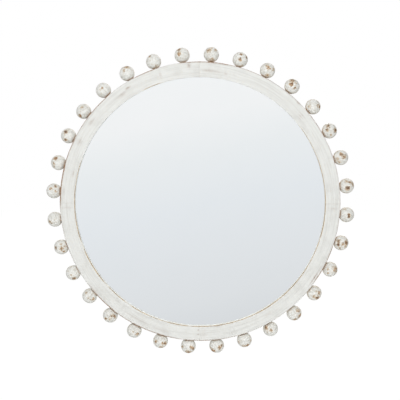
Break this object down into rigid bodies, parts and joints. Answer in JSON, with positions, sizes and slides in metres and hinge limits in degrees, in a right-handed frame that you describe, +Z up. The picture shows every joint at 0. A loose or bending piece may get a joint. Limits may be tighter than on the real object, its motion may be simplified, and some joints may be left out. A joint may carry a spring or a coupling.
{
  "type": "round wall mirror",
  "caption": "Round wall mirror in a flat painted wooden ring, edged all round with painted wooden balls; two ring hangers and two rubber bumpers on the back.",
  "frame": {"origin": "middle of the mirror, on the plane of the wall that it hangs on", "axes": "+Z up as it hangs, +X to the right seen from the front, +Y into the wall; the glass faces -Y"},
  "size_m": [0.8086, 0.047, 0.8086],
  "materials": {
    "painted_ring": "brushed white paint, rubbed through to brown wood along the edges",
    "painted_balls": "white paint, chipped through to brown wood",
    "bare_dowel": "bare beech",
    "silvered_glass": "clear silvered float glass, plain edge",
    "foam_tape": "white foam tape",
    "fibreboard": "bare fibreboard",
    "zinc_screw": "bright zinc plate",
    "hanger_steel": "nickel plated steel",
    "bumper_rubber": "black rubber"
  },
  "bodies": {
    "mirror": {"frame_arc_upper_right": "painted_ring", "frame_arc_lower_right": "painted_ring", "frame_arc_lower_left": "painted_ring", "frame_arc_upper_left": "painted_ring", "arc_joint_dowels": "bare_dowel", "ball_01": "painted_balls", "ball_02": "painted_balls", "ball_03": "painted_balls", "ball_04": "painted_balls", "ball_05": "painted_balls", "ball_06": "painted_balls", "ball_07": "painted_balls", "ball_08": "painted_balls", "ball_09": "painted_balls", "ball_10": "painted_balls", "ball_11": "painted_balls", "ball_12": "painted_balls", "ball_13": "painted_balls", "ball_14": "painted_balls", "ball_15": "painted_balls", "ball_16": "painted_balls", "ball_17": "painted_balls", "ball_18": "painted_balls", "ball_19": "painted_balls", "ball_20": "painted_balls", "ball_21": "painted_balls", "ball_22": "painted_balls", "ball_23": "painted_balls", "ball_24": "painted_balls", "ball_25": "painted_balls", "ball_26": "painted_balls", "ball_27": "painted_balls", "ball_28": "painted_balls", "ball_29": "painted_balls", "ball_30": "painted_balls", "ball_31": "painted_balls", "ball_32": "painted_balls", "ball_dowels": "bare_dowel", "mirror_glass": "silvered_glass", "tape_strips": "foam_tape", "backing_board": "fibreboard", "board_screws": "zinc_screw", "right_hanger_strap": "hanger_steel", "left_hanger_strap": "hanger_steel", "hanger_screws": "zinc_screw", "right_bumper": "bumper_rubber", "left_bumper": "bumper_rubber"},
    "right_ring": {"right_hanger_ring": "hanger_steel"},
    "left_ring": {"left_hanger_ring": "hanger_steel"}
  },
  "joints": [
    {"name": "right_ring_swing", "type": "hinge", "parent": "mirror", "child": "right_ring", "pos_m": [0.31489, -0.00395, 0.16392], "axis": [0.887, 0, 0.4617], "range_deg": [0, 180]},
    {"name": "left_ring_swing", "type": "hinge", "parent": "mirror", "child": "left_ring", "pos_m": [-0.31489, -0.00395, 0.16392], "axis": [0.887, 0, -0.4617], "range_deg": [0, 180]}
  ]
}
